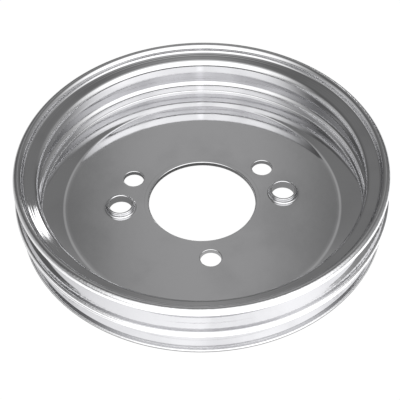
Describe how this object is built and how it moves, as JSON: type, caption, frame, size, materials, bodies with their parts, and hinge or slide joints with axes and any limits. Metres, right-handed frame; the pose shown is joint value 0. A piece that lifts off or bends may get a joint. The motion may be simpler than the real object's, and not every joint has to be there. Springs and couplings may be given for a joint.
{
  "type": "v-belt crankshaft pulley",
  "caption": "Chrome-plated stamped-steel crankshaft pulley for V-belts: grooved rim, open dish, flat web with pilot hole, bolt holes and raised collars.",
  "frame": {"origin": "on the pulley's axis, level with the lowest edge of the rear rim, on which it stands", "axes": "+Z along the axis, out of the open front of the dish; +X through the first raised collar"},
  "size_m": [0.1752, 0.1752, 0.0303],
  "materials": {
    "front_groove_ring_chrome": "bright decorative chrome plate over stamped steel",
    "hub_cup_chrome": "bright decorative chrome plate over stamped steel",
    "rear_flange_ring_chrome": "bright decorative chrome plate over stamped steel"
  },
  "bodies": {
    "root": {"front_groove_ring": "front_groove_ring_chrome", "hub_cup": "hub_cup_chrome", "rear_flange_ring": "rear_flange_ring_chrome"}
  },
  "joints": []
}
